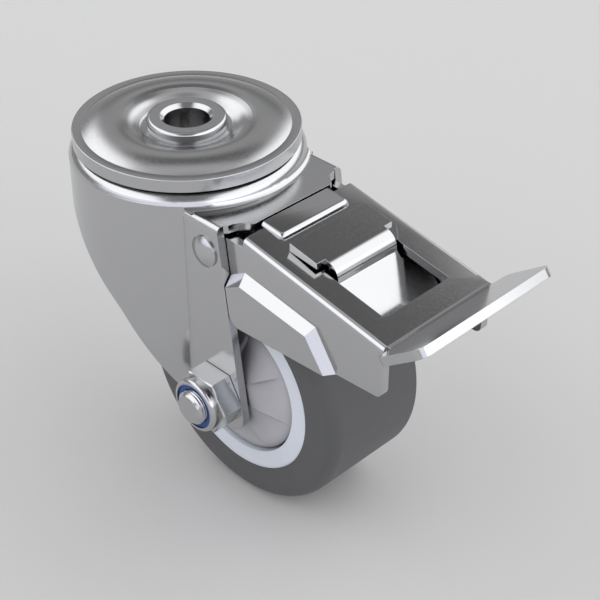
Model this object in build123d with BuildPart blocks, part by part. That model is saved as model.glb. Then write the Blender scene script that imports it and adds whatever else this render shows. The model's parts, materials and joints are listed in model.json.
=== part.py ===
from build123d import *
from math import atan2, cos, degrees, pi, radians, sin, sqrt, tan
import os

# Braked swivel caster with a bolt hole, in millimetres, +Z up.
# The origin is the centre of the bolt hole at the top face of the sleeve.
# +X points from the swivel axis to the foot pedal, and the wheel axle runs along Y.

# Driving dimensions: swivel head
head_radius = 31.4            # pressed head plate
rim_top = -2.2                # flat rim of the head plate
rim_height = 3.6              # folded rim, seen from the side
rim_flat = 2.7                # width of the flat ring on the rim
rim_edge = 0.25               # rounding of the rim's outer edge
head_sheet = 2.6
dome_top = -0.5               # crest of the raised ring over the upper balls
dome_crest = 18.5
dish_edge = (16.6, -0.95)     # faint ring where the dish begins
well_edge = (12.9, -2.35)     # lip of the sunken seat
well_radius = 11.9            # sunken seat round the sleeve
well_floor = -4.5
bolt_hole = 12.5              # through bore for the mounting bolt
bore_chamfer = 1.1
boss_radius = 11.0
shank_radius = 9.0            # tube of the kingpin sleeve
kingpin_bottom = -22.2
swage_radius = 12.0           # rolled lower end of the sleeve
swage_thickness = 2.0

# Driving dimensions: swivel bearing
upper_ball = 4.76
upper_pitch = 22.0            # radius of the upper ball circle
upper_count = 24
lower_ball = 4.0
lower_pitch = 15.5
lower_count = 20
ball_clearance = 0.06
cup_radius = 20.2
cup_thickness = 2.0
lock_ring_radius = 20.0
lock_ring_thickness = 2.5
lock_teeth = 24
lock_tooth_depth = 3.2

# Driving dimensions: fork
fork_sheet = 2.4
crown_radius = 32.7           # round rear wall and crown
crown_top = -6.3
crown_shoulder = 3.6          # outer rounding of the crown
crown_foot = 1.9              # rounding where the crown meets the shelf
shelf_top = -10.3
shelf_front = 41.2
shelf_tab = 14.5              # half width of the shelf's front tab
leg_half_width = 22.75        # outer faces of the legs
leg_bend = 1.7                # outer radius of the bend from shelf to leg
leg_front_top = (36.4, -11.05)
leg_front_reach = (8.45, 3.3)  # point of the leg's front edge, from the axle
leg_end = 10.4                # axle to the lower end of the leg
crown_hole = 12.3
relief_centre = (42.6, 19.7)
relief_radius = 5.4
wall_rear_low = -18.0         # lower edge of the round wall at the very back

# Driving dimensions: wheel and axle
axle_x = 34.8
tread_top = -26.1             # top of the tread, below the pivot pin
wheel_radius = 37.5
wheel_width = 33.0
tyre_shoulder = 4.0
rim_radius = 27.2             # outside of the hub, under the tyre
cover_radius = 21.9           # opening of the hub that the cover fills
hub_core = 16.0
axle_diameter = 10.0
axle_clearance = 0.05
bearing_outer = 26.0
bearing_width = 8.0
bearing_gap = 9.0             # space between the two bearings
bearing_ball = 4.76
bearing_pitch = 9.1
bearing_balls = 7
cover_level = 15.7            # outer face of the hub cover at its rim
cover_dish = 2.1
cover_sheet = 0.9
cover_eye = 8.0
crease_count = 8
rib_count = 8
rib_width = 2.4
rib_height = 11.0
insert_radius = 6.6
nut_flats = 16.3
nut_hex_height = 6.6
nut_collar_radius = 7.9
nut_top = 9.3                 # leg to the nut's outer end
bolt_end = 11.1               # leg to the end of the bolt
thread_pitch = 0.85           # plain rings where the thread shows
thread_depth = 0.45
head_flats = 16.3
head_height = 6.4

# Driving dimensions: brake pedal
pedal_sheet = 2.5
leaf_sheet = 2.4              # sprung leaf that passes through the window
pedal_pitch = -10.27          # slope of the top plate, degrees
pedal_bend = (90.3, -19.73)   # top plate meets the foot plate
pedal_rear = 43.4
pedal_front = 91.4
pedal_half_width = 20.15
pedal_edge = 1.65             # outer radius of the pedal's long edges
pivot = (31.57, -19.05)
pivot_radius = 3.0
pivot_ear = 5.5
rivet_head = 4.4
rivet_rise = 1.9
window_clearance = 1.5        # behind the curl of the leaf
window_front = 84.4
window_half = 12.1
foot_start = (92.2, -20.1)
foot_angle = 36.0
foot_length = 17.1
foot_rear_round = 1.6         # inner corners of the foot, behind its bend
foot_half = 24.4
foot_relief = 0.95            # ears start ahead of the bend
foot_neck = 18.9
lip_height = 2.1
emboss_rear = 42.15
emboss_front = 49.6
emboss_half = 12.5
emboss_level = -10.2
emboss_slope = -6.0           # degrees
emboss_corner = 2.4           # front corners, seen from above
leg_gap = 0.35                # wing of the pedal to the front of the leg

# Driving dimensions: brake leaf
leaf_half = 17.2              # wide lower part
neck_half = 10.85             # curl that passes through the window
flap_half = 13.8              # flap that lies on the pedal
flap_rear = 53.7
flap_front = 63.2
flap_gap = 0.1                # flap to the pedal's plate
curl_front = 67.8
curl_foot = -17.5
curl_radius = 4.4
ramp_front = 78.5
ramp_angle = 45.0
limb_angle = 30.0             # return limb, below the horizontal
shoulder_level = -19.3        # the leaf widens below this height
shoe_half = 15.4
shoe_start = 43.0             # polar angles round the axle, degrees
shoe_end = 75.0
shoe_gap = 0.35               # shoe to tread
web_bottom = -24.75           # underside of the leaf below the pivot pin
leaf_ear = (14.95, 17.35)     # ears round the pin
leaf_ear_radius = 5.2
tail_gap = 0.3                # tail to lock ring
tail_front = 20.0
tail_rear = 17.6
tail_half = 1.6
tail_root = 9.0

os.makedirs("parts", exist_ok=True)

axle_z = tread_top - wheel_radius
window_rear = curl_front - leaf_sheet - window_clearance
flap_lift = leaf_sheet + flap_gap
leg_bottom = axle_z - leg_end
leg_front_low = (axle_x + leg_front_reach[0], axle_z + leg_front_reach[1])
axle_plane = Plane((axle_x, 0, axle_z))
axle_line = Axis((axle_x, 0, axle_z), (0, 1, 0))
pivot_plane = Plane((pivot[0], 0, pivot[1]))
pivot_line = Axis((pivot[0], 0, pivot[1]), (0, 1, 0))
leg_inner = leg_half_width - fork_sheet


def save(part, name):
    part.label = name
    export_step(part, "parts/" + name + ".step")


def plate_z(x):
    """Height of the pedal's top plate."""
    return pedal_bend[1] + tan(radians(pedal_pitch)) * (x - pedal_bend[0])


def leg_front(z):
    """Front edge of the leg, a straight line that leans forward."""
    run = (leg_front_low[0] - leg_front_top[0]) / (leg_front_low[1] - leg_front_top[1])
    return leg_front_top[0] + run * (z - leg_front_top[1])


def nearest(shape, x, y):
    """Vertex of a sketch nearest to a local point."""
    return shape.vertices().sort_by_distance((x, y, 0))[0]


# Head plate: pressed disc with a flat rim, a raised ring and a sunken seat
groove_radius = upper_ball / 2 + 0.12
upper_level = -6.0
dome_run = head_radius - rim_flat - dome_crest
dome_arc = dome_run / sin(radians(25))
groove_half = sqrt(groove_radius**2 - 0.4**2)
with BuildPart() as head_plate:
    with BuildSketch(Plane.XZ):
        with BuildLine():
            inner = shank_radius + 0.05
            crease = (head_radius - rim_flat, dome_top - dome_arc * (1 - cos(radians(25))))
            middle = (
                dome_crest + dome_arc * sin(radians(12.5)),
                dome_top - dome_arc * (1 - cos(radians(12.5))),
            )
            Polyline(
                (inner, well_floor),
                (well_radius, well_floor),
                (well_radius + 0.2, well_floor + 1.2),
                well_edge,
                dish_edge,
                (dish_edge[0] + 0.35, dish_edge[1] + 0.2),
                (dome_crest, dome_top),
            )
            ThreePointArc((dome_crest, dome_top), middle, crease)
            Polyline(
                crease,
                (crease[0] + 0.35, rim_top),
                (head_radius, rim_top),
                (head_radius, rim_top - rim_height),
                (head_radius - 2.6, rim_top - rim_height),
                (head_radius - 2.6, -5.0),
                (25.4, -5.0),
                (upper_pitch + groove_half, upper_level + 0.4),
            )
            ThreePointArc(
                (upper_pitch + groove_half, upper_level + 0.4),
                (upper_pitch, upper_level + groove_radius),
                (upper_pitch - groove_half, upper_level + 0.4),
            )
            Polyline(
                (upper_pitch - groove_half, upper_level + 0.4),
                (17.5, upper_level + 0.4),
                (13.6, well_floor - head_sheet),
                (inner, well_floor - head_sheet),
                (inner, well_floor),
            )
        plate_face = make_face()
        fillet(nearest(plate_face, head_radius, rim_top), rim_edge)
        fillet(nearest(plate_face, *well_edge), 0.9)
    revolve(axis=Axis.Z)

# Kingpin sleeve: bored boss on top, rolled flange below
with BuildPart() as kingpin_sleeve:
    with BuildSketch(Plane.XZ):
        bore = bolt_hole / 2
        profile = [
            (bore, -bore_chamfer),
            (bore + bore_chamfer, 0),
            (boss_radius, 0),
            (boss_radius, well_floor),
            (shank_radius, well_floor),
            (shank_radius, kingpin_bottom + swage_thickness),
            (swage_radius, kingpin_bottom + swage_thickness),
            (swage_radius, kingpin_bottom),
            (bore + 0.8, kingpin_bottom),
            (bore, kingpin_bottom + 0.8),
        ]
        with BuildLine():
            Polyline(*profile, close=True)
        sleeve_face = make_face()
        fillet(nearest(sleeve_face, boss_radius, 0), 1.0)
        fillet(nearest(sleeve_face, swage_radius, kingpin_bottom), 1.2)
    revolve(axis=Axis.Z)

# Lower race cup: neck, ball track and raised lip
lower_level = -13.9
cup_top = lower_level - 1.3
with BuildPart() as lower_race_cup:
    with BuildSketch(Plane.XZ):
        with BuildLine():
            Polyline(
                (shank_radius + 0.05, well_floor - head_sheet),
                (11.4, well_floor - head_sheet),
                (11.4, cup_top),
                (13.8, cup_top),
            )
            ThreePointArc(
                (13.8, cup_top),
                (lower_pitch, lower_level - lower_ball / 2 - ball_clearance),
                (2 * lower_pitch - 13.8, cup_top),
            )
            Polyline(
                (2 * lower_pitch - 13.8, cup_top),
                (18.5, cup_top),
                (18.5, -13.0),
                (cup_radius, -13.0),
                (cup_radius, -16.0),
                (cup_radius - 1.7, -17.7),
                (shank_radius + 0.05, -17.7),
                (shank_radius + 0.05, well_floor - head_sheet),
            )
        make_face()
    revolve(axis=Axis.Z)

# Swivel lock ring with notches for the brake's tail
lock_bottom = kingpin_bottom + swage_thickness
with BuildPart() as lock_ring:
    with BuildSketch(Plane.XY.offset(lock_bottom)):
        Circle(lock_ring_radius)
        with PolarLocations(lock_ring_radius, lock_teeth):
            Rectangle(2 * lock_tooth_depth, 2.6, mode=Mode.SUBTRACT)
        Circle(shank_radius + 0.05, mode=Mode.SUBTRACT)
    extrude(amount=lock_ring_thickness)

# Balls of the swivel bearing
with BuildPart() as upper_balls:
    with Locations((0, 0, upper_level)):
        with PolarLocations(upper_pitch, upper_count):
            Sphere(upper_ball / 2)

with BuildPart() as lower_balls:
    with Locations((0, 0, lower_level)):
        with PolarLocations(lower_pitch, lower_count):
            Sphere(lower_ball / 2)

# Fork: one drawn sheet with a round rear wall and two flat legs
inner_radius = crown_radius - fork_sheet
floor_level = -80.0
flare_x = crown_radius - crown_shoulder
flare_level = crown_top - crown_shoulder
flare_run = sqrt((crown_shoulder + crown_foot) ** 2 - (shelf_top + crown_foot - flare_level) ** 2)
flare_centre = (flare_x + flare_run, shelf_top + crown_foot)
share = crown_shoulder / (crown_shoulder + crown_foot)
flare_join = (
    flare_x + flare_run * share,
    flare_level + (flare_centre[1] - flare_level) * share,
)
join_angle = atan2(flare_join[1] - flare_level, flare_join[0] - flare_x)
shoulder_middle = (join_angle + pi / 2) / 2
foot_middle = (join_angle + pi + 3 * pi / 2) / 2

with BuildPart() as crown:
    with BuildSketch(Plane.XY.offset(floor_level)):
        Circle(crown_radius)
    extrude(amount=flare_level - floor_level)
    with BuildSketch(Plane.XZ):
        with BuildLine():
            Polyline(
                (0, shelf_top),
                (0, crown_top - 3.1),
                (18.0, crown_top - 3.1),
                (upper_pitch - 2.1, upper_level - 1.36),
            )
            ThreePointArc(
                (upper_pitch - 2.1, upper_level - 1.36),
                (upper_pitch, upper_level - groove_radius),
                (upper_pitch + 2.1, upper_level - 1.36),
            )
            Polyline(
                (upper_pitch + 2.1, upper_level - 1.36),
                (27.2, crown_top),
                (flare_x, crown_top),
            )
            ThreePointArc(
                (flare_x, crown_top),
                (
                    flare_x + crown_shoulder * cos(shoulder_middle),
                    flare_level + crown_shoulder * sin(shoulder_middle),
                ),
                flare_join,
            )
            ThreePointArc(
                flare_join,
                (
                    flare_centre[0] + crown_foot * cos(foot_middle),
                    flare_centre[1] + crown_foot * sin(foot_middle),
                ),
                (flare_centre[0], shelf_top),
            )
            Line((flare_centre[0], shelf_top), (0, shelf_top))
        make_face()
    revolve(axis=Axis.Z)
    with BuildSketch(Plane.XY.offset(floor_level)):
        Circle(crown_radius)
        with Locations((30, 0)):
            Rectangle(60, 2 * leg_half_width)
    extrude(amount=-floor_level, mode=Mode.INTERSECT)

with BuildPart() as leg_block:
    with BuildSketch(Plane.YZ.offset(10)):
        with Locations((0, (shelf_top + floor_level) / 2)):
            block = Rectangle(2 * leg_half_width, shelf_top - floor_level)
        fillet(block.vertices().group_by(Axis.Y)[-1], leg_bend)
    extrude(amount=50)

with BuildPart() as fork_inside:
    with BuildSketch(Plane.XY.offset(floor_level)):
        Circle(inner_radius)
        with Locations((30, 0)):
            Rectangle(60, 2 * leg_inner)
    extrude(amount=shelf_top - fork_sheet - floor_level)
    with BuildSketch(Plane.XZ):
        with BuildLine():
            Polyline(
                (0, shelf_top - fork_sheet - 1),
                (0, crown_top - 3.1 - fork_sheet),
                (18.4, crown_top - 3.1 - fork_sheet),
                (20.2, -10.9),
                (24.2, -10.9),
                (27.4, crown_top - fork_sheet),
                (inner_radius - 1.2, crown_top - fork_sheet),
                (inner_radius, crown_top - fork_sheet - 1.2),
                (inner_radius, shelf_top - fork_sheet - 1),
                close=True,
            )
        make_face()
    revolve(axis=Axis.Z)

with BuildPart() as fork:
    add(crown.part)
    add(leg_block.part)
    add(fork_inside.part, mode=Mode.SUBTRACT)
    with BuildSketch(Plane.XY.offset(crown_top + 5)):
        Circle(crown_hole)
    extrude(amount=-20, mode=Mode.SUBTRACT)
    # Side outline: the wall rises towards the back and ends level at the axle
    rear_points = [
        (-14.5, -25.5),
        (6, axle_z + 18.6),
        (axle_x - 11.3, axle_z - 7.9),
        (axle_x - 9.7, leg_bottom),
    ]
    rise = (rear_points[0][1] - wall_rear_low) / (rear_points[0][0] + 34.0)
    with BuildSketch(Plane.XZ) as side_outline:
        with BuildLine():
            Polyline(
                (-60, wall_rear_low - rise * 26),
                *rear_points,
                (70, leg_bottom),
                (70, 5),
                (-60, 5),
                close=True,
            )
        make_face()
        for point, radius in zip(rear_points[:2] + rear_points[3:], [22, 30, 5]):
            fillet(nearest(side_outline, *point), radius)
    extrude(amount=40, both=True, mode=Mode.INTERSECT)
    # Front edge of each leg
    corner = (leg_front(leg_bottom), leg_bottom)
    with BuildSketch(Plane.XZ.offset(leg_inner - 0.05)) as front_cut:
        with Locations((60, -40)):
            Rectangle(60, 100)
        with BuildSketch(mode=Mode.PRIVATE) as leg_shape:
            with BuildLine():
                Polyline(
                    (10, 12),
                    (leg_front(12), 12),
                    corner,
                    (10, leg_bottom),
                    close=True,
                )
            make_face()
            fillet(nearest(leg_shape, *corner), 5.5)
        add(leg_shape.sketch, mode=Mode.SUBTRACT)
    extrude(amount=10, mode=Mode.SUBTRACT)
    with BuildSketch(Plane.XZ.offset(-leg_inner + 0.05)):
        add(front_cut.sketch_local)
    extrude(amount=-10, mode=Mode.SUBTRACT)
    # Front of the shelf: a tab between two round reliefs
    relief_x = relief_centre[0] - relief_radius
    tab_dip = sqrt(relief_radius**2 - (relief_centre[1] - shelf_tab) ** 2)
    slant = radians(215)
    with BuildSketch(Plane.XY.offset(-14)) as shelf_cut:
        with BuildLine():
            Line((60, 0), (shelf_front, 0))
            Line((shelf_front, 0), (shelf_front, shelf_tab + 0.2))
            ThreePointArc(
                (shelf_front, shelf_tab + 0.2),
                (
                    relief_centre[0] + relief_radius * cos(slant),
                    relief_centre[1] + relief_radius * sin(slant),
                ),
                (relief_x, relief_centre[1] - 0.3),
            )
            Polyline(
                (relief_x, relief_centre[1] - 0.3),
                (leg_front(shelf_top), leg_inner + 0.1),
                (60, leg_inner + 0.1),
                (60, 0),
            )
        make_face()
        fillet(nearest(shelf_cut, shelf_front, shelf_tab + 0.2), 1.6)
        mirror(about=Plane.XZ)
    extrude(amount=6, mode=Mode.SUBTRACT)
    # Holes for the axle and the pivot pin
    with BuildSketch(Plane.XZ):
        with Locations((axle_x, axle_z)):
            Circle(axle_diameter / 2 + 0.1)
        with Locations(pivot):
            Circle(pivot_radius + 0.08)
    extrude(amount=40, both=True, mode=Mode.SUBTRACT)

# Pivot pin with a domed head outside each leg
dome_foot = leg_half_width + 0.5
dome_height = rivet_rise - 0.5
dome_curve = (rivet_head**2 + dome_height**2) / (2 * dome_height)
dome_centre = leg_half_width + rivet_rise - dome_curve
dome_lean = atan2(rivet_head, dome_foot - dome_centre) / 2
dome_side = (
    dome_curve * sin(dome_lean),
    dome_centre + dome_curve * cos(dome_lean),
)
with BuildPart() as pivot_pin:
    with BuildSketch(pivot_plane):
        with BuildLine():
            Polyline(
                (0, leg_half_width + rivet_rise),
                (0, -leg_half_width - rivet_rise),
            )
            ThreePointArc(
                (0, -leg_half_width - rivet_rise),
                (dome_side[0], -dome_side[1]),
                (rivet_head, -dome_foot),
            )
            Polyline(
                (rivet_head, -dome_foot),
                (rivet_head, -leg_half_width),
                (pivot_radius, -leg_half_width),
                (pivot_radius, leg_half_width),
                (rivet_head, leg_half_width),
                (rivet_head, dome_foot),
            )
            ThreePointArc(
                (rivet_head, dome_foot),
                dome_side,
                (0, leg_half_width + rivet_rise),
            )
        make_face()
    revolve(axis=pivot_line)

# Axle bolt: hexagon head, plain shank and chamfered end
shank = axle_diameter / 2 - axle_clearance
head_outer = leg_half_width + head_height
thread = [(shank - thread_depth - 0.4, -leg_half_width - bolt_end)]
for turn in range(3):
    level = -leg_half_width - bolt_end + 0.5 + turn * thread_pitch
    thread += [(shank - thread_depth, level), (shank, level + thread_pitch / 2)]
with BuildPart() as axle_bolt:
    with BuildSketch(Plane.XZ.offset(-leg_half_width)):
        with Locations((axle_x, axle_z)):
            RegularPolygon(head_flats / sqrt(3), 6)
    extrude(amount=-head_height)
    with BuildSketch(axle_plane):
        with BuildLine():
            Polyline(
                (0, head_outer),
                (head_flats / 2 - 0.3, head_outer),
                (head_flats / 2 + 2.2, head_outer - 1.5),
                (head_flats / 2 + 2.2, -40),
                (0, -40),
                close=True,
            )
        make_face()
    revolve(axis=axle_line, mode=Mode.INTERSECT)
    with BuildSketch(axle_plane):
        with BuildLine():
            Polyline(
                (0, leg_half_width + 1),
                (shank, leg_half_width + 1),
                *reversed(thread),
                (0, -leg_half_width - bolt_end),
                close=True,
            )
        make_face()
    revolve(axis=axle_line)

# Lock nut: hexagon with a round collar over its insert
nut_seat = -leg_half_width
with BuildPart() as axle_nut:
    with BuildSketch(Plane.XZ.offset(leg_half_width)):
        with Locations((axle_x, axle_z)):
            RegularPolygon(nut_flats / sqrt(3), 6)
    extrude(amount=nut_hex_height)
    with BuildSketch(axle_plane):
        with BuildLine():
            Polyline(
                (0, nut_seat),
                (nut_flats / 2 - 0.5, nut_seat),
                (nut_flats / 2 - 0.5, nut_seat - 0.3),
                (nut_flats / 2 + 2.0, nut_seat - 1.7),
                (nut_flats / 2 + 2.0, nut_seat - nut_hex_height + 1.3),
                (nut_flats / 2 - 0.1, nut_seat - nut_hex_height),
                (0, nut_seat - nut_hex_height),
                close=True,
            )
        make_face()
    revolve(axis=axle_line, mode=Mode.INTERSECT)
    with BuildSketch(axle_plane):
        with BuildLine():
            Polyline(
                (0, nut_seat - nut_hex_height + 1),
                (nut_collar_radius, nut_seat - nut_hex_height + 1),
                (nut_collar_radius, nut_seat - nut_top),
                (0, nut_seat - nut_top),
                close=True,
            )
        collar_face = make_face()
        fillet(nearest(collar_face, nut_collar_radius, nut_seat - nut_top), 1.1)
    revolve(axis=axle_line)
    with BuildSketch(Plane.XZ.offset(leg_half_width)):
        with Locations((axle_x, axle_z)):
            Circle(axle_diameter / 2)
    extrude(amount=20, mode=Mode.SUBTRACT)
    with BuildSketch(Plane.XZ.offset(leg_half_width + nut_hex_height)):
        with Locations((axle_x, axle_z)):
            Circle(insert_radius)
    extrude(amount=20, mode=Mode.SUBTRACT)

# Plastic insert of the lock nut
with BuildPart() as nut_insert:
    with BuildSketch(Plane.XZ.offset(leg_half_width + nut_hex_height)):
        with Locations((axle_x, axle_z)):
            Circle(insert_radius)
            Circle(axle_diameter / 2, mode=Mode.SUBTRACT)
    extrude(amount=nut_top - nut_hex_height - 0.5)


def ring(inner, outer, start, end, chamfer_size):
    """Turned ring on the wheel axle, between two heights along it."""
    with BuildPart() as turned:
        with BuildSketch(axle_plane):
            with BuildLine():
                Polyline(
                    (inner, start),
                    (outer, start),
                    (outer, end),
                    (inner, end),
                    close=True,
                )
            face = make_face()
            chamfer(face.vertices(), chamfer_size)
        revolve(axis=axle_line)
    return turned.part


# Spacers that carry the bearings on the axle
bore_radius = axle_diameter / 2
bearing_start = bearing_gap / 2
bearing_end = bearing_start + bearing_width
axle_sleeve = ring(bore_radius, 7.0, -bearing_start, bearing_start, 0.3)
axle_spacer_left = ring(bore_radius, 7.2, bearing_end, leg_inner, 0.3)
axle_spacer_right = ring(bore_radius, 7.2, -leg_inner, -bearing_end, 0.3)


def bearing_ring(inner, outer, side, play):
    """Race of a ball bearing with a round track for the balls."""
    middle = side * (bearing_start + bearing_width / 2)
    track = bearing_ball / 2 + play
    with BuildPart() as race:
        with BuildSketch(axle_plane):
            with Locations(((inner + outer) / 2, middle)):
                section = Rectangle(outer - inner, bearing_width)
            chamfer(section.vertices(), 0.3)
            with Locations((bearing_pitch, middle)):
                Circle(track, mode=Mode.SUBTRACT)
        revolve(axis=axle_line)
    return race.part


def bearing_balls_at(side):
    """Balls of one wheel bearing."""
    middle = side * (bearing_start + bearing_width / 2)
    with BuildPart(Plane.XZ) as balls:
        with Locations((axle_x, axle_z, -middle)):
            with PolarLocations(bearing_pitch, bearing_balls):
                Sphere(bearing_ball / 2)
    return balls.part


bearing_inner_ring_left = bearing_ring(bore_radius, 7.7, 1, 0.03)
bearing_inner_ring_right = bearing_ring(bore_radius, 7.7, -1, 0.03)
bearing_outer_ring_left = bearing_ring(10.5, bearing_outer / 2, 1, 0.18)
bearing_outer_ring_right = bearing_ring(10.5, bearing_outer / 2, -1, 0.18)
bearing_balls_left = bearing_balls_at(1)
bearing_balls_right = bearing_balls_at(-1)

# Tyre: flat tread, rounded shoulders, keyed to the hub by a rib
ring_face = wheel_width / 2 - 0.3
with BuildPart() as tyre:
    with BuildSketch(axle_plane):
        with BuildLine():
            Polyline(
                (rim_radius, -wheel_width / 2),
                (wheel_radius, -wheel_width / 2),
                (wheel_radius, wheel_width / 2),
                (rim_radius, wheel_width / 2),
                (rim_radius, 5),
                (rim_radius + 1.6, 4),
                (rim_radius + 1.6, -4),
                (rim_radius, -5),
                close=True,
            )
        tread = make_face()
        fillet(nearest(tread, wheel_radius, -wheel_width / 2), tyre_shoulder)
        fillet(nearest(tread, wheel_radius, wheel_width / 2), tyre_shoulder)
    revolve(axis=axle_line)

# Hub: rim ring, web, ribs and bearing seats
with BuildPart() as hub:
    with BuildSketch(axle_plane):
        with BuildLine():
            Polyline(
                (cover_radius, 3.5),
                (cover_radius, ring_face),
                (rim_radius, ring_face),
                (rim_radius, 5),
                (rim_radius + 1.6, 4),
                (rim_radius + 1.6, -4),
                (rim_radius, -5),
                (rim_radius, -ring_face),
                (cover_radius, -ring_face),
                (cover_radius, -3.5),
                (hub_core, -3.5),
                (hub_core, -bearing_end),
                (bearing_outer / 2, -bearing_end),
                (bearing_outer / 2, -bearing_start),
                (bearing_outer / 2 - 1.4, -bearing_start),
                (bearing_outer / 2 - 1.4, bearing_start),
                (bearing_outer / 2, bearing_start),
                (bearing_outer / 2, bearing_end),
                (hub_core, bearing_end),
                (hub_core, 3.5),
                close=True,
            )
        hub_face = make_face()
        fillet(nearest(hub_face, cover_radius, ring_face), 0.5)
        fillet(nearest(hub_face, cover_radius, -ring_face), 0.5)
    revolve(axis=axle_line)
    with BuildSketch(Plane.XZ):
        with Locations((axle_x, axle_z)):
            with PolarLocations((hub_core + cover_radius) / 2, rib_count):
                Rectangle(cover_radius - hub_core + 1, rib_width)
    extrude(amount=rib_height, both=True)


def cover_at(side):
    """Dished cover of the hub with shallow radial creases."""
    rim_level = side * cover_level
    eye_level = side * (cover_level - cover_dish)
    step = side * cover_sheet
    with BuildPart() as cover:
        with BuildSketch(axle_plane):
            with BuildLine():
                Polyline(
                    (cover_radius - 0.05, rim_level - side * 4),
                    (cover_radius - 0.05, rim_level - side * 0.6),
                    (cover_radius - 0.65, rim_level),
                    (cover_radius - 1.6, rim_level),
                    (cover_eye + 4, eye_level),
                    (cover_eye, eye_level),
                    (cover_eye, eye_level - step),
                    (cover_eye + 4, eye_level - step),
                    (cover_radius - 1.6, rim_level - step * 1.3),
                    (cover_radius - 1.6, rim_level - side * 4),
                    close=True,
                )
            make_face()
        revolve(axis=axle_line)
        crease_mid = (cover_radius + cover_eye + 2) / 2
        lean = degrees(atan2(cover_dish, cover_radius - 1.6 - cover_eye - 4))
        for spoke in range(crease_count):
            turn = 360 / crease_count * (spoke + 0.5)
            out = (cos(radians(turn)), 0, sin(radians(turn)))
            across = (-sin(radians(turn)), 0, cos(radians(turn)))
            spot = (
                axle_x + crease_mid * out[0],
                (rim_level + eye_level) / 2 + side * 0.6,
                axle_z + crease_mid * out[2],
            )
            slope = (
                out[0] * cos(radians(lean)),
                side * sin(radians(lean)),
                out[2] * cos(radians(lean)),
            )
            with BuildSketch(Plane(origin=spot, x_dir=across, z_dir=slope)):
                RegularPolygon(0.85, 4)
            extrude(amount=3.6, both=True, mode=Mode.SUBTRACT)
    return cover.part


hub_cover_left = cover_at(1)
hub_cover_right = cover_at(-1)

# Brake pedal: outline of the channel seen from the side
pitch = radians(pedal_pitch)
under = pedal_sheet / cos(pitch)
ear_top = pivot[1] + pivot_ear
wing_rear = leg_front(-38.0) + leg_gap
lower_edge = [(44.0, -37.8), (74.2, -36.3), (77.0, -36.0), (pedal_front, -35.25)]
outer_ramp = [(30.1, -31.7), (44.25, -24.18), (67.8, -27.45), (84.3, -50.0), (30.1, -50.0)]
inner_ramp = [(28.65, -29.8), (43.9, -21.15), (69.1, -25.3), (85.7, -50.0), (28.65, -50.0)]

with BuildPart() as wing:
    with BuildSketch(Plane.XZ.offset(pedal_half_width - 0.02)):
        with BuildLine():
            Polyline(*inner_ramp, close=True)
        make_face()
    with BuildSketch(Plane.XZ.offset(leg_half_width)):
        with BuildLine():
            Polyline(*outer_ramp, close=True)
        make_face()
    loft(ruled=True)
    with BuildSketch(Plane.XZ.offset(pedal_half_width - 0.02)):
        with BuildLine():
            Polyline(
                (leg_front(-10) + leg_gap, -10),
                (wing_rear, -38.0),
                *lower_edge,
                (pedal_front, -10),
                close=True,
            )
        wing_face = make_face()
        fillet(nearest(wing_face, wing_rear, -38.0), 3.6)
    extrude(amount=5, mode=Mode.INTERSECT)

wing_wall = 0.9
with BuildPart() as pocket:
    with BuildSketch(Plane.XZ.offset(pedal_half_width - pedal_sheet - 0.02)):
        with BuildLine():
            Polyline(*inner_ramp, close=True)
        make_face()
        offset(amount=-wing_wall, kind=Kind.INTERSECTION, mode=Mode.REPLACE)
    with BuildSketch(Plane.XZ.offset(leg_half_width - pedal_sheet)):
        with BuildLine():
            Polyline(*outer_ramp, close=True)
        make_face()
        offset(amount=-wing_wall, kind=Kind.INTERSECTION, mode=Mode.REPLACE)
    loft(ruled=True)

# Raised step of the pedal behind its plate
emboss_drop = tan(radians(emboss_slope)) * (emboss_front - emboss_rear)
with BuildPart() as emboss:
    with BuildSketch(Plane.XZ):
        with BuildLine():
            Polyline(
                (emboss_rear, emboss_level),
                (emboss_front, emboss_level + emboss_drop),
                (emboss_front, plate_z(emboss_front) - 1.5),
                (pedal_rear + 0.5, plate_z(pedal_rear) - 1.5),
                (emboss_rear, emboss_level - pedal_sheet),
                close=True,
            )
        make_face()
    extrude(amount=emboss_half, both=True)
    front_corners = emboss.edges().filter_by(
        lambda e: abs(e.center().X - emboss_front) < 0.01 and abs(abs(e.center().Y) - emboss_half) < 0.01
    )
    fillet(front_corners, emboss_corner)
    step_edges = emboss.faces().sort_by(Axis.Z)[-1].edges()
    fillet(step_edges.sort_by(Axis.X)[1:], 0.5)

# Flat foot plate at the pedal's front
foot = radians(foot_angle)
meet_x = (
    pedal_bend[1]
    - tan(pitch) * pedal_bend[0]
    - foot_start[1]
    + tan(foot) * foot_start[0]
) / (tan(foot) - tan(pitch))
meet = (meet_x, plate_z(meet_x))
half_turn = tan((foot - pitch) / 2)
low_meet = (
    meet[0] + pedal_sheet * half_turn * cos(pitch) + pedal_sheet * sin(pitch),
    meet[1] + pedal_sheet * half_turn * sin(pitch) - pedal_sheet * cos(pitch),
)
foot_plane = Plane(
    origin=(meet[0], 0, meet[1]),
    x_dir=(cos(foot), 0, sin(foot)),
    z_dir=(-sin(foot), 0, cos(foot)),
)
with BuildPart() as foot_plate:
    with BuildSketch(foot_plane):
        with Locations((foot_relief + (foot_length - foot_relief) / 2, 0)):
            tread_plate = Rectangle(foot_length - foot_relief, 2 * foot_half)
        fillet(tread_plate.vertices().group_by(Axis.X)[0], foot_rear_round)
    extrude(amount=-pedal_sheet)
    with BuildSketch(Plane.XZ):
        with BuildLine():
            Polyline(
                (88.0, plate_z(88.0)),
                meet,
                (meet[0] + 5 * cos(foot), meet[1] + 5 * sin(foot)),
                (
                    low_meet[0] + 5 * cos(foot),
                    low_meet[1] + 5 * sin(foot),
                ),
                low_meet,
                (88.0, plate_z(88.0) - under),
                close=True,
            )
        bend_face = make_face()
        fillet(nearest(bend_face, *meet), 2.2)
        fillet(nearest(bend_face, *low_meet), 4.7)
    extrude(amount=foot_neck, both=True)

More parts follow.
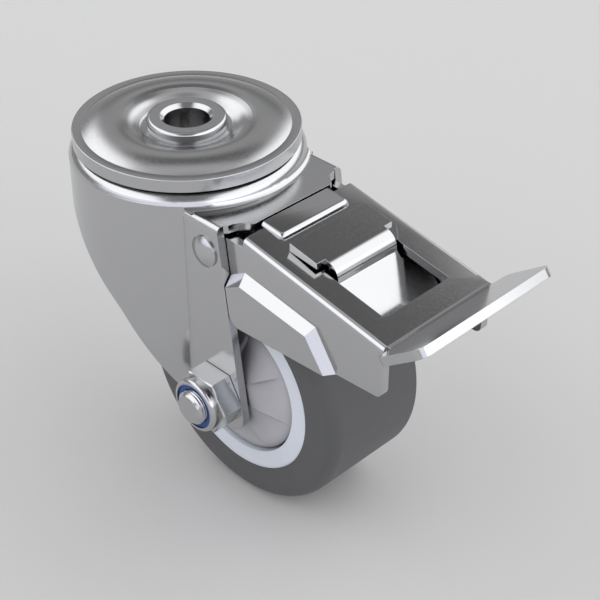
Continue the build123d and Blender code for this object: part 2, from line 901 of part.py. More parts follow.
# Low lips beside the leaf's flap, falling away towards the front
with BuildPart() as lip:
    with BuildSketch(Plane.XY.offset(-20)) as lip_outline:
        with BuildLine():
            Polyline(
                (56.2, -16.8),
                (62.6, -16.4),
                (65.9, -13.2),
                (66.5, -12.5),
                (65.2, -12.5),
                (62.6, -14.9),
                (56.4, -15.1),
                close=True,
            )
        make_face()
    extrude(amount=20)
    with BuildSketch(Plane.XZ):
        with BuildLine():
            Polyline(
                (50, plate_z(50) + lip_height),
                (60, plate_z(60) + lip_height),
                (67, plate_z(67) + 0.9),
                (67, plate_z(67) - 1),
                (50, plate_z(50) - 1),
                close=True,
            )
        make_face()
    extrude(amount=30, mode=Mode.INTERSECT)

with BuildPart() as brake_pedal:
    with BuildSketch(Plane.XZ) as channel_side:
        with BuildLine():
            Polyline(
                (pivot[0], ear_top),
                (pedal_rear, ear_top - 0.2),
                (pedal_rear, plate_z(pedal_rear)),
                (pedal_front, plate_z(pedal_front)),
                lower_edge[3],
                *lower_edge[2::-1],
                (wing_rear, -38.0),
                (leg_front(-27.5) + leg_gap, -27.5),
                (30.6, pivot[1] - pivot_ear + 0.1),
                close=True,
            )
        make_face()
        fillet(nearest(channel_side, *lower_edge[3]), 2.0)
        with Locations(pivot):
            Circle(pivot_ear)
    extrude(amount=pedal_half_width, both=True)
    long_edges = brake_pedal.edges().filter_by(
        lambda e: abs(abs(e.center().Y) - pedal_half_width) < 0.01
        and e.length > 30
        and e.center().Z > -18
    )
    fillet(long_edges, pedal_edge)
    with BuildSketch(Plane.XZ):
        with BuildLine():
            Polyline(
                (10, 0),
                (pedal_rear, 0),
                (pedal_rear, plate_z(pedal_rear) - under),
                (97, plate_z(97) - under),
                (97, -60),
                (10, -60),
                close=True,
            )
        make_face()
    extrude(amount=pedal_half_width - pedal_sheet, both=True, mode=Mode.SUBTRACT)
    add(wing.part)
    add(mirror(wing.part, about=Plane.XZ, mode=Mode.PRIVATE))
    add(pocket.part, mode=Mode.SUBTRACT)
    add(mirror(pocket.part, about=Plane.XZ, mode=Mode.PRIVATE), mode=Mode.SUBTRACT)
    add(emboss.part)
    add(foot_plate.part)
    add(lip.part)
    add(mirror(lip.part, about=Plane.XZ, mode=Mode.PRIVATE))
    # Window for the curled leaf
    with BuildSketch(Plane.XY.offset(-5)):
        with Locations(((window_rear + window_front) / 2, 0)):
            opening = Rectangle(window_front - window_rear, 2 * window_half)
        fillet(opening.vertices(), 0.5)
    extrude(amount=-20, mode=Mode.SUBTRACT)
    with BuildSketch(Plane.XZ):
        with Locations(pivot):
            Circle(pivot_radius + 0.1)
    extrude(amount=40, both=True, mode=Mode.SUBTRACT)

# Brake leaf: flap on the pedal, curl through the window, ramp, return limb,
# shoe over the tread and tail below the pivot pin
shoe_radius = wheel_radius + shoe_gap
web_top = web_bottom + leaf_sheet
limb_heading = 180 + limb_angle


def along(point, heading, distance):
    """Point of the side view at a distance along a heading in degrees."""
    return (
        point[0] + distance * cos(radians(heading)),
        point[1] + distance * sin(radians(heading)),
    )


def polar(radius, angle):
    """Point of the side view at a polar angle round the axle."""
    return along((axle_x, axle_z), angle, radius)


def meeting(first, first_heading, second, second_heading):
    """Where two lines of the side view meet."""
    ax, az = cos(radians(first_heading)), sin(radians(first_heading))
    bx, bz = cos(radians(second_heading)), sin(radians(second_heading))
    dx, dz = second[0] - first[0], second[1] - first[1]
    return along(first, first_heading, (dx * bz - dz * bx) / (ax * bz - az * bx))


def on_circle(point, heading, radius):
    """First point of a line on a circle round the axle."""
    dx, dz = point[0] - axle_x, point[1] - axle_z
    half = dx * cos(radians(heading)) + dz * sin(radians(heading))
    return along(point, heading, -half - sqrt(half**2 - dx**2 - dz**2 + radius**2))


flap_top = (flap_rear, plate_z(flap_rear) + flap_lift)
curl_top = meeting(flap_top, pedal_pitch, (curl_front, 0), 90)
curl_low = (curl_front, curl_foot)
ramp_tip = meeting(curl_low, -ramp_angle, (ramp_front, 0), 90)
nose = on_circle(ramp_tip, limb_heading, shoe_radius)
flap_low = along(flap_top, -90, leaf_sheet / cos(pitch))
curl_inside = meeting(flap_low, pedal_pitch, (curl_front - leaf_sheet, 0), 90)
ramp_inside = along(curl_low, -90 - ramp_angle, leaf_sheet)
limb_inside = along(ramp_tip, limb_heading - 90, leaf_sheet)
knee_inside = meeting(curl_inside, 90, ramp_inside, -ramp_angle)
tip_inside = meeting(ramp_inside, -ramp_angle, limb_inside, limb_heading)
nose_inside = on_circle(limb_inside, limb_heading, shoe_radius + leaf_sheet)
with BuildPart() as brake_leaf:
    with BuildSketch(Plane.XZ) as strip:
        with BuildLine():
            Polyline(
                flap_top,
                curl_top,
                curl_low,
                ramp_tip,
                nose,
                nose_inside,
                tip_inside,
                knee_inside,
                curl_inside,
                flap_low,
                close=True,
            )
        make_face()
        fillet(nearest(strip, *curl_top), curl_radius)
        fillet(nearest(strip, *curl_inside), curl_radius - leaf_sheet)
        fillet(nearest(strip, *curl_low), 0.8)
        fillet(nearest(strip, *knee_inside), 0.8 + leaf_sheet)
        fillet(nearest(strip, *ramp_tip), 1.0 + leaf_sheet)
        fillet(nearest(strip, *tip_inside), 1.0)
    extrude(amount=leaf_half, both=True)
    # Narrow flap and neck
    for side in (-1, 1):
        with BuildSketch(Plane.XY.offset(shoulder_level)):
            with Locations((flap_front + 15, side * (neck_half + 10))):
                Rectangle(30, 20)
            with Locations((flap_front - 10, side * (flap_half + 10))):
                Rectangle(22, 20)
        extrude(amount=20, mode=Mode.SUBTRACT)
    # Shoe over the tread
    with BuildSketch(Plane.XZ):
        with BuildLine():
            Line(
                polar(shoe_radius, shoe_start + 0.45),
                polar(shoe_radius + leaf_sheet, shoe_start + 3),
            )
            ThreePointArc(
                polar(shoe_radius + leaf_sheet, shoe_start + 3),
                polar(shoe_radius + leaf_sheet, (shoe_start + shoe_end) / 2),
                polar(shoe_radius + leaf_sheet, shoe_end),
            )
            Line(polar(shoe_radius + leaf_sheet, shoe_end), polar(shoe_radius, shoe_end))
            ThreePointArc(
                polar(shoe_radius, shoe_end),
                polar(shoe_radius, (shoe_start + shoe_end) / 2),
                polar(shoe_radius, shoe_start + 0.45),
            )
        make_face()
    extrude(amount=shoe_half, both=True)
    # Web below the pin
    web_heading = shoe_end + 90
    bend_low = meeting(polar(shoe_radius, shoe_end), web_heading, (0, web_bottom), 0)
    bend_top = meeting(polar(shoe_radius + leaf_sheet, shoe_end), web_heading, (0, web_top), 0)
    with BuildSketch(Plane.XZ):
        with BuildLine():
            Polyline(
                polar(shoe_radius, shoe_end - 0.2),
                polar(shoe_radius, shoe_end),
                bend_low,
                (pivot[0] - leaf_ear_radius, web_bottom),
                (pivot[0] - leaf_ear_radius, web_top),
                bend_top,
                polar(shoe_radius + leaf_sheet, shoe_end),
                polar(shoe_radius + leaf_sheet, shoe_end - 0.2),
                close=True,
            )
        make_face()
    extrude(amount=shoe_half, both=True)
    # Ears round the pin
    for side in (-1, 1):
        with BuildSketch(Plane.XZ.offset(side * leaf_ear[0])):
            with Locations(pivot):
                Circle(leaf_ear_radius)
            with Locations((pivot[0], (pivot[1] + web_bottom) / 2)):
                Rectangle(2 * leaf_ear_radius, pivot[1] - web_bottom)
        extrude(amount=side * (leaf_ear[1] - leaf_ear[0]))
    # Tail with one tooth under the lock ring
    with BuildSketch(Plane.XY.offset(web_bottom)):
        with BuildLine():
            Polyline(
                (pivot[0] - leaf_ear_radius + 1, tail_root),
                (tail_front, tail_half + 1.5),
                (tail_rear, tail_half + 1.5),
                (tail_rear, -tail_half - 1.5),
                (tail_front, -tail_half - 1.5),
                (pivot[0] - leaf_ear_radius + 1, -tail_root),
                close=True,
            )
        make_face()
    extrude(amount=leaf_sheet)
    with BuildSketch(Plane.XY.offset(web_bottom)):
        with Locations(((tail_front + tail_rear) / 2, 0)):
            Rectangle(tail_front - tail_rear, 2 * tail_half)
    extrude(amount=lock_bottom - tail_gap - web_bottom)
    with BuildSketch(Plane.XZ):
        with Locations(pivot):
            Circle(pivot_radius + 0.1)
    extrude(amount=40, both=True, mode=Mode.SUBTRACT)

pieces = {
    "head_plate": head_plate.part,
    "kingpin_sleeve": kingpin_sleeve.part,
    "lower_race_cup": lower_race_cup.part,
    "lock_ring": lock_ring.part,
    "upper_balls": upper_balls.part,
    "lower_balls": lower_balls.part,
    "fork": fork.part,
    "pivot_pin": pivot_pin.part,
    "axle_bolt": axle_bolt.part,
    "axle_nut": axle_nut.part,
    "nut_insert": nut_insert.part,
    "axle_sleeve": axle_sleeve,
    "axle_spacer_left": axle_spacer_left,
    "axle_spacer_right": axle_spacer_right,
    "bearing_inner_ring_left": bearing_inner_ring_left,
    "bearing_inner_ring_right": bearing_inner_ring_right,
    "bearing_balls_left": bearing_balls_left,
    "bearing_balls_right": bearing_balls_right,
    "bearing_outer_ring_left": bearing_outer_ring_left,
    "bearing_outer_ring_right": bearing_outer_ring_right,
    "tyre": tyre.part,
    "hub": hub.part,
    "hub_cover_left": hub_cover_left,
    "hub_cover_right": hub_cover_right,
    "brake_pedal": brake_pedal.part,
    "brake_leaf": brake_leaf.part,
}
for name, piece in pieces.items():
    save(piece, name)
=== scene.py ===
import json
import math

import bmesh
import bpy
from mathutils import Matrix, Vector


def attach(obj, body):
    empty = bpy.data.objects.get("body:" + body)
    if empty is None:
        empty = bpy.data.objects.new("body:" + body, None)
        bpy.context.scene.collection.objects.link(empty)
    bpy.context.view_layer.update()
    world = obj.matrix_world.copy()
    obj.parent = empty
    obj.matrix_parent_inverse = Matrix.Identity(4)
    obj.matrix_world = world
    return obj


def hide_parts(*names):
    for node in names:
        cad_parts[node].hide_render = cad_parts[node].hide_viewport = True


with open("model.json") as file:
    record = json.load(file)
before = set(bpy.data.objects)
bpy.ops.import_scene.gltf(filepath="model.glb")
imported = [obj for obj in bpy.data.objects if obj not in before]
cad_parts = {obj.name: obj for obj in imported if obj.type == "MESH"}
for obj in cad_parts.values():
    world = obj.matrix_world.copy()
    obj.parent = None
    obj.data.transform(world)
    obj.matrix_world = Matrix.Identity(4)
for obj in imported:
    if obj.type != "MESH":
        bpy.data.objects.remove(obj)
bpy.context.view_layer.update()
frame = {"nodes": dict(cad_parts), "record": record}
nodes = frame["nodes"]


# Node helpers

def new_material(name):
    """Empty material with its node tree and its shader."""
    mat = bpy.data.materials.new(name)
    mat.use_nodes = True
    tree = mat.node_tree
    shader = tree.nodes["Principled BSDF"]
    return mat, tree, shader


def add(tree, kind, **values):
    """New node of a kind, with its settings."""
    node = tree.nodes.new(kind)
    for key, value in values.items():
        setattr(node, key, value)
    return node


def position(tree, scale=(1000, 1000, 1000)):
    """Object position in millimetres, stretched by scale."""
    coords = add(tree, "ShaderNodeTexCoord")
    mapping = add(tree, "ShaderNodeMapping")
    mapping.inputs["Scale"].default_value = scale
    tree.links.new(coords.outputs["Object"], mapping.inputs["Vector"])
    return mapping.outputs["Vector"]


def noise(tree, vector, scale, detail=4.0, roughness=0.55):
    """Soft noise from 0 to 1 over a position."""
    node = add(tree, "ShaderNodeTexNoise")
    node.inputs["Scale"].default_value = scale
    node.inputs["Detail"].default_value = detail
    node.inputs["Roughness"].default_value = roughness
    tree.links.new(vector, node.inputs["Vector"])
    return node.outputs["Fac"]


def spread(tree, value, low, high, from_low=0.3, from_high=0.7):
    """Stretches a value to run from low to high."""
    node = add(tree, "ShaderNodeMapRange")
    node.inputs["From Min"].default_value = from_low
    node.inputs["From Max"].default_value = from_high
    node.inputs["To Min"].default_value = low
    node.inputs["To Max"].default_value = high
    tree.links.new(value, node.inputs["Value"])
    return node.outputs["Result"]


def tint(tree, value, first, second):
    """Mixes two colours by a value from 0 to 1."""
    node = add(tree, "ShaderNodeMix", data_type="RGBA")
    node.inputs["A"].default_value = (*first, 1)
    node.inputs["B"].default_value = (*second, 1)
    tree.links.new(value, node.inputs["Factor"])
    return node.outputs["Result"]


def bump(tree, height, strength, distance, edge=0.0):
    """Surface relief, with the edges rounded by a small radius."""
    node = add(tree, "ShaderNodeBump")
    node.inputs["Strength"].default_value = strength
    node.inputs["Distance"].default_value = distance
    tree.links.new(height, node.inputs["Height"])
    if edge:
        rounded = add(tree, "ShaderNodeBevel", samples=6)
        rounded.inputs["Radius"].default_value = edge
        tree.links.new(rounded.outputs["Normal"], node.inputs["Normal"])
    return node.outputs["Normal"]


# Materials

def paint_hollow_shade(tree, color, reach, darkest, open_from=0.12, open_to=0.5):
    """Paints shade into a colour in seams and hollows, within a reach in metres."""
    hollow = add(tree, "ShaderNodeAmbientOcclusion", samples=6)
    hollow.inputs["Distance"].default_value = reach
    shade = spread(tree, hollow.outputs["AO"], darkest, 1.0, open_from, open_to)
    mix = add(tree, "ShaderNodeMix", data_type="RGBA", blend_type="MULTIPLY")
    mix.inputs["Factor"].default_value = 1.0
    tree.links.new(color, mix.inputs["A"])
    tree.links.new(shade, mix.inputs["B"])
    return mix.outputs["Result"]


def plated(name, light, dark, rough, reach, edge=0.00015):
    """Polished zinc plate: clear reflections, faint cloudiness, fine handling marks and painted shade in
    seams and hollows.
    """
    mat, tree, shader = new_material(name)
    place = position(tree)
    cloud = noise(tree, place, 0.11, 3)
    # Painted shade: the plate's colour goes darker in seams and hollows
    plate = paint_hollow_shade(tree, tint(tree, cloud, dark, light), reach, 0.12)
    tree.links.new(plate, shader.inputs["Base Color"])
    shader.inputs["Metallic"].default_value = 1.0
    fine = noise(tree, place, 1.7, 5)
    tree.links.new(spread(tree, fine, rough * 0.8, rough * 1.3), shader.inputs["Roughness"])
    tree.links.new(bump(tree, fine, 0.02, 0.00002, edge), shader.inputs["Normal"])
    return mat


def turned(name, light, dark, rough):
    """Turned or ground steel with fine rings across its length."""
    mat, tree, shader = new_material(name)
    lines = noise(tree, position(tree, (400, 9000, 400)), 1.0, 3)
    tree.links.new(tint(tree, lines, dark, light), shader.inputs["Base Color"])
    shader.inputs["Metallic"].default_value = 1.0
    tree.links.new(spread(tree, lines, rough * 0.8, rough * 1.4), shader.inputs["Roughness"])
    tree.links.new(bump(tree, lines, 0.08, 0.00003, 0.0002), shader.inputs["Normal"])
    return mat


def moulded(name, light, dark, rough, grain, depth, edge=0.0003, with_painted_shade=False):
    """Moulded plastic or rubber with a soft grain, and painted shade in hollows where asked."""
    mat, tree, shader = new_material(name)
    place = position(tree)
    color = tint(tree, noise(tree, place, 0.16, 4), dark, light)
    if with_painted_shade:
        # Painted shade: the colour goes darker in folds and close to nearby parts
        color = paint_hollow_shade(tree, color, 0.014, 0.3, 0.35, 0.95)
    tree.links.new(color, shader.inputs["Base Color"])
    fine = noise(tree, place, grain, 5, 0.6)
    tree.links.new(spread(tree, fine, rough * 0.88, rough * 1.1), shader.inputs["Roughness"])
    tree.links.new(bump(tree, fine, 0.25, depth, edge), shader.inputs["Normal"])
    return mat


STEEL_LIGHT = (0.52, 0.522, 0.527)
STEEL_DARK = (0.495, 0.497, 0.502)
# The steels differ in roughness and in how far their painted shade reaches into hollows
steel = plated("plated_steel", STEEL_LIGHT, STEEL_DARK, 0.18, 0.004)
head_steel = plated("head_steel", STEEL_LIGHT, STEEL_DARK, 0.21, 0.02)
brake_steel = plated("brake_steel", STEEL_LIGHT, STEEL_DARK, 0.13, 0.02)
ball_steel = turned("ball_steel", (0.76, 0.76, 0.77), (0.68, 0.68, 0.69), 0.14)
plain_steel = turned("plain_steel", (0.66, 0.66, 0.67), (0.56, 0.56, 0.57), 0.28)
nylon = moulded("blue_nylon", (0.018, 0.085, 0.34), (0.013, 0.065, 0.28), 0.38, 1.2, 0.00004)
rubber = moulded("grey_rubber", (0.1, 0.101, 0.106), (0.086, 0.087, 0.092), 0.5, 2.2, 0.00006)
pale = moulded("pale_nylon", (0.78, 0.82, 0.9), (0.73, 0.77, 0.86), 0.42, 1.4, 0.00004)
# The hub cover gets painted shade in its folds and near the fork's legs
cover = moulded("grey_cover", (0.55, 0.55, 0.585), (0.47, 0.47, 0.505), 0.45, 1.6, 0.00005, 0.0001, True)

slot_material = {
    "plated_steel": steel,
    "ball_steel": ball_steel,
    "plain_steel": plain_steel,
    "blue_nylon": nylon,
    "grey_rubber": rubber,
    "pale_nylon": pale,
    "grey_cover": cover,
}
for entry in frame["record"]["subparts"]:
    mesh = nodes[entry["node"]].data
    mesh.materials.clear()
    mesh.materials.append(slot_material[entry["material_slot"]])

# Finished pieces: the plain forms with their pressed, folded and rounded edges

MM = 0.001
SHARP_EDGE = math.radians(21)


def place_piece(name, mesh, node, body, finish=steel):
    """Puts a finished mesh in the place of a plain form."""
    piece = bpy.data.objects.new(name, mesh)
    bpy.context.scene.collection.objects.link(piece)
    mesh.materials.clear()
    mesh.materials.append(finish)
    if "custom_normal" in mesh.attributes:
        mesh.attributes.remove(mesh.attributes["custom_normal"])
    mesh.shade_smooth()
    mesh.set_sharp_from_angle(angle=SHARP_EDGE)
    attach(piece, body)
    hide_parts(node)


def to_mesh(shape, name):
    """Welds a shape, turns its faces outward and makes a mesh of it."""
    bmesh.ops.remove_doubles(shape, verts=shape.verts, dist=0.0005 * MM)
    bmesh.ops.recalc_face_normals(shape, faces=shape.faces)
    mesh = bpy.data.meshes.new(name)
    shape.to_mesh(mesh)
    shape.free()
    return mesh


def stitch(shape, rings):
    """Joins each ring of points to the next by four-sided faces."""
    for low_ring, high_ring in zip(rings, rings[1:]):
        for place in range(len(low_ring)):
            after = (place + 1) % len(low_ring)
            shape.faces.new((low_ring[place], low_ring[after], high_ring[after], high_ring[place]))


def prism(outline, low, high):
    """Side-view outline in millimetres, carried across from low to high."""
    shape = bmesh.new()
    near = [shape.verts.new((x * MM, low * MM, z * MM)) for x, z in outline]
    far = [shape.verts.new((x * MM, high * MM, z * MM)) for x, z in outline]
    shape.faces.new(near)
    shape.faces.new(far)
    stitch(shape, [near, far])
    bmesh.ops.recalc_face_normals(shape, faces=shape.faces)
    return shape


def carve(mesh, shape, operation):
    """Joins a shape to a mesh or cuts it away, and gives the new mesh."""
    holder = bpy.data.objects.new("holder", mesh)
    tool = bpy.data.objects.new("tool", to_mesh(shape, "tool"))
    for part in (holder, tool):
        bpy.context.scene.collection.objects.link(part)
    change = holder.modifiers.new("change", "BOOLEAN")
    change.object = tool
    change.operation = operation
    change.solver = "EXACT"
    graph = bpy.context.evaluated_depsgraph_get()
    result = bpy.data.meshes.new_from_object(holder.evaluated_get(graph))
    for part in (holder, tool):
        bpy.data.objects.remove(part)
    return result


def welded_copy(node):
    """Copy of a node's mesh with its shared points joined."""
    shape = bmesh.new()
    shape.from_mesh(nodes[node].data)
    return to_mesh(shape, node + "_copy")


# Head plate: raised ring, soft dish and a shallow seat round the boss

HEAD_RADIUS = 31.4
RIM_TOP = -2.2
RIM_BOTTOM = -5.8
RIM_WALL = 2.6
SEAT_BOTTOM = -5.0
HEAD_STEPS = 160
seat = [(11.02, SEAT_BOTTOM), (11.02, -3.3), (12.3, -3.28), (12.75, -3.12)]
dish = [(13.0, -2.95), (14.6, -2.25), (16.2, -1.42), (17.7, -0.86)]
crest = [(18.1, -0.74), (19.4, -0.47), (20.6, -0.4)]
CREST_TOP = crest[-1][1]
FALL_START = crest[-1][0]
FALL_END = 28.7
FALL_TILT = math.radians(26)
FALL_STEPS = 14
bend = (FALL_END - FALL_START) / math.sin(FALL_TILT)
fall = [
    (
        FALL_START + bend * math.sin(FALL_TILT * step / FALL_STEPS),
        CREST_TOP - bend * (1 - math.cos(FALL_TILT * step / FALL_STEPS)),
    )
    for step in range(1, FALL_STEPS + 1)
]


def smoothed(points, steps=6):
    """Soft curve through a few profile points."""
    curve = []
    for place in range(len(points) - 1):
        before = points[max(place - 1, 0)]
        start, end = points[place], points[place + 1]
        after = points[min(place + 2, len(points) - 1)]
        for step in range(steps):
            t = step / steps
            curve.append(
                tuple(
                    0.5
                    * (
                        2 * start[k]
                        + (end[k] - before[k]) * t
                        + (2 * before[k] - 5 * start[k] + 4 * end[k] - after[k]) * t**2
                        + (3 * start[k] - before[k] - 3 * end[k] + after[k]) * t**3
                    )
                    for k in (0, 1)
                )
            )
    return curve + [points[-1]]


rim = [
    (FALL_END + 0.1, RIM_TOP - 0.06),
    (FALL_END + 0.3, RIM_TOP),
    (HEAD_RADIUS - 0.25, RIM_TOP),
    (HEAD_RADIUS - 0.07, RIM_TOP - 0.07),
    (HEAD_RADIUS, RIM_TOP - 0.25),
    (HEAD_RADIUS, RIM_BOTTOM),
    (HEAD_RADIUS - RIM_WALL, RIM_BOTTOM),
    (HEAD_RADIUS - RIM_WALL, SEAT_BOTTOM),
]
head_profile = seat + smoothed(dish + crest) + fall + rim
head_shape = bmesh.new()
turns = [2 * math.pi * step / HEAD_STEPS for step in range(HEAD_STEPS)]
rings = [
    [head_shape.verts.new((r * MM * math.cos(a), r * MM * math.sin(a), z * MM)) for a in turns]
    for r, z in head_profile
]
stitch(head_shape, rings + rings[:1])
head_mesh = to_mesh(head_shape, "head_plate_finished")
place_piece("head_plate_finished", head_mesh, "head_plate", "head", head_steel)

# Hub covers: pleated cones that rise from the hub's ring to the fork's legs

AXLE = (34.8, -63.6)
COVER_STEPS = 360
PLEATS = 8
PLEAT_START = 0.3
PLEAT_DEPTH = 1.3
FOLD = 0.05


def round_axle(radius, turn):
    """Side-view point round the wheel's axle."""
    return AXLE[0] + radius * math.cos(turn), AXLE[1] + radius * math.sin(turn)


# Radius, distance from the wheel's middle and share of the fold's depth
cover_profile = [
    (7.35, 18.2, 0),
    (7.35, 19.4, 0),
    (8.6, 19.5, 0),
    (9.6, 19.3, 0.3),
    (12.0, 18.5, 1),
    (15.0, 17.3, 0.75),
    (18.0, 16.2, 0.3),
    (20.0, 15.45, 0),
    (21.2, 15.0, 0),
    (21.3, 14.9, 0),
    (21.2, 12.2, 0),
    (21.82, 12.2, 0),
    (21.82, 11.7, 0),
    (20.6, 11.7, 0),
    (20.6, 13.9, 0),
    (8.4, 18.2, 0),
]


def pleat(turn):
    """Sawtooth round the cover: a slow rise and a sharp fold."""
    share = (turn / (2 * math.pi) * PLEATS + PLEAT_START) % 1.0
    return share / (1 - FOLD) if share < 1 - FOLD else (1 - share) / FOLD


for side, side_name in ((-1, "right"), (1, "left")):
    cover_shape = bmesh.new()
    rings = []
    for radius, level, folded in cover_profile:
        ring = []
        for step in range(COVER_STEPS):
            turn = 2 * math.pi * step / COVER_STEPS
            height = level - folded * PLEAT_DEPTH * pleat(turn)
            x, z = round_axle(radius, turn)
            ring.append(cover_shape.verts.new((x * MM, side * height * MM, z * MM)))
        rings.append(ring)
    stitch(cover_shape, rings + rings[:1])
    name = "hub_cover_" + side_name
    place_piece(name + "_finished", to_mesh(cover_shape, name), name, "wheel", cover)

# Lock nut: crisp hexagon against the leg

NUT_SEAT = -22.75
NUT_GAP = 0.12
NUT_HEIGHT = 6.6
NUT_CORNER = 16.3 / math.sqrt(3)
NUT_CHAMFER = 0.35
BORE = 5.0
hexagon = [round_axle(NUT_CORNER, math.radians(60 * corner)) for corner in range(6)]
bore_circle = [round_axle(BORE, math.radians(5 * step)) for step in range(72)]


def round_edges(shape, chosen, radius, segments):
    """Bevels the chosen edges of a shape."""
    picked = [edge for edge in shape.edges if chosen(edge)]
    bmesh.ops.bevel(
        shape, geom=picked, offset=radius * MM, segments=segments, profile=0.5, affect="EDGES"
    )


def outer_edge_of_nut(edge):
    return all(end.co.y < (NUT_SEAT - NUT_HEIGHT + 0.1) * MM for end in edge.verts)


nut_shape = prism(hexagon, NUT_SEAT - NUT_HEIGHT, NUT_SEAT - NUT_GAP)
round_edges(nut_shape, outer_edge_of_nut, NUT_CHAMFER, 1)
nut_mesh = to_mesh(nut_shape, "nut")
nut_mesh = carve(nut_mesh, prism(bore_circle, NUT_SEAT - 12, NUT_SEAT + 2), "DIFFERENCE")
collar = bmesh.new()
collar.from_mesh(nodes["axle_nut"].data)
nut_mesh = carve(nut_mesh, collar, "UNION")
place_piece("axle_nut_finished", nut_mesh, "axle_nut", "fork")

# Brake pedal: rolled step, rounded foot corners and a plain plate beside the flap

PEDAL_BEND = (90.3, -19.73)
PEDAL_TILT = math.tan(math.radians(-10.27))
FOOT_START = (92.23, -20.08)
FOOT_ANGLE = math.radians(36)
FOOT_LENGTH = 17.1
FOOT_HALF = 24.4
FOOT_CORNER = 3.2


def plate_z(x):
    """Height of the pedal's sloping plate."""
    return PEDAL_BEND[1] + PEDAL_TILT * (x - PEDAL_BEND[0])


# The plain form's lips and step come off down to a skin over the plate
SKIN = 0.01
LIPS_REAR, LIPS_FRONT = 50.4, 70.0
LIPS_INNER, LIPS_OUTER = 12.3, 18.0
OLD_STEP_REAR = 41.0
OLD_STEP_HALF = 13.0
pedal_mesh = welded_copy("brake_pedal")
clear_of_plate = [
    (LIPS_REAR, plate_z(LIPS_REAR) + SKIN),
    (LIPS_FRONT, plate_z(LIPS_FRONT) + SKIN),
    (LIPS_FRONT, plate_z(LIPS_FRONT) + 4),
    (LIPS_REAR, plate_z(LIPS_REAR) + 4),
]
for side in (-1, 1):
    low, high = sorted((side * LIPS_INNER, side * LIPS_OUTER))
    pedal_mesh = carve(pedal_mesh, prism(clear_of_plate, low, high), "DIFFERENCE")
old_step = [
    (OLD_STEP_REAR, plate_z(OLD_STEP_REAR) + SKIN),
    (LIPS_REAR, plate_z(LIPS_REAR) + SKIN),
    (LIPS_REAR, -5.0),
    (OLD_STEP_REAR, -5.0),
]
pedal_mesh = carve(pedal_mesh, prism(old_step, -OLD_STEP_HALF, OLD_STEP_HALF), "DIFFERENCE")

STEP_HALF = 12.5
STEP_REAR, STEP_FRONT = 42.15, 49.8
STEP_RISE = 1.45
STEP_REAR_TOP = -10.15
STEP_DEPTH = 0.8
STEP_CORNER = 1.5
STEP_ROLL = 1.3
ROUND_STEPS = 6
step_outline = [
    (STEP_REAR, STEP_REAR_TOP),
    (STEP_FRONT, plate_z(STEP_FRONT) + STEP_RISE),
    (STEP_FRONT, plate_z(STEP_FRONT) - STEP_DEPTH),
    (STEP_REAR, plate_z(STEP_REAR) - STEP_DEPTH),
]
step_shape = prism(step_outline, -STEP_HALF, STEP_HALF)


def upright_front(edge):
    spot = (edge.verts[0].co + edge.verts[1].co) / (2 * MM)
    return spot.x > STEP_FRONT - 0.1 and abs(spot.y) > STEP_HALF - 0.1


def top_edge_of_step(edge):
    ends = [end.co / MM for end in edge.verts]
    above = all(end.z > plate_z(end.x) + 0.5 for end in ends)
    return above and not all(end.x < STEP_REAR + 0.15 for end in ends)


round_edges(step_shape, upright_front, STEP_CORNER, ROUND_STEPS)
round_edges(step_shape, top_edge_of_step, STEP_ROLL, ROUND_STEPS)
pedal_mesh = carve(pedal_mesh, step_shape, "UNION")


def on_foot(reach, lift, width):
    """Point on the foot, by its distance along it, above it and across it."""
    x = FOOT_START[0] + reach * math.cos(FOOT_ANGLE) - lift * math.sin(FOOT_ANGLE)
    z = FOOT_START[1] + reach * math.sin(FOOT_ANGLE) + lift * math.cos(FOOT_ANGLE)
    return x * MM, width * MM, z * MM


CORNER_STEPS = 10
corner_outline = [
    (FOOT_LENGTH + 1, FOOT_HALF + 1),
    (FOOT_LENGTH - FOOT_CORNER, FOOT_HALF + 1),
]
for step in range(CORNER_STEPS + 1):
    turn = math.radians(90) * step / CORNER_STEPS
    corner_outline.append(
        (
            FOOT_LENGTH - FOOT_CORNER * (1 - math.sin(turn)),
            FOOT_HALF - FOOT_CORNER * (1 - math.cos(turn)),
        )
    )
corner_outline.append((FOOT_LENGTH + 1, FOOT_HALF - FOOT_CORNER))
for side in (-1, 1):
    corner_cut = bmesh.new()
    rings = [
        [corner_cut.verts.new(on_foot(reach, lift, side * width)) for reach, width in corner_outline]
        for lift in (-5, 3)
    ]
    for ring in rings:
        corner_cut.faces.new(ring)
    stitch(corner_cut, rings)
    pedal_mesh = carve(pedal_mesh, corner_cut, "DIFFERENCE")
place_piece("brake_pedal_finished", pedal_mesh, "brake_pedal", "pedal", brake_steel)

# Brake leaf: the ramp runs straight down to a tight bend

RAMP_TIP = (78.5, -28.2)
RAMP_START = 74.6
RAMP_HALF = 17.2
FLAP_REAR, FLAP_FRONT = 53.6, 64.6
FLAP_HALF = 14.0
FLAP_LIFT = 1.0
leaf_mesh = welded_copy("brake_leaf")
ramp_length = RAMP_TIP[0] - RAMP_START
ramp_fill = [
    (RAMP_START, RAMP_TIP[1] + ramp_length),
    RAMP_TIP,
    (RAMP_START, RAMP_TIP[1] - ramp_length * math.tan(math.radians(30))),
]
leaf_mesh = carve(leaf_mesh, prism(ramp_fill, -RAMP_HALF, RAMP_HALF), "UNION")
under_flap = [
    (FLAP_REAR, plate_z(FLAP_REAR) - 0.2),
    (FLAP_REAR, plate_z(FLAP_REAR) + 0.07),
    (FLAP_FRONT, plate_z(FLAP_FRONT) + FLAP_LIFT),
    (FLAP_FRONT, plate_z(FLAP_FRONT) - 0.2),
]
leaf_mesh = carve(leaf_mesh, prism(under_flap, -FLAP_HALF, FLAP_HALF), "DIFFERENCE")
place_piece("brake_leaf_finished", leaf_mesh, "brake_leaf", "pedal", brake_steel)

# Floor: one wide sheet that the wheel stands on

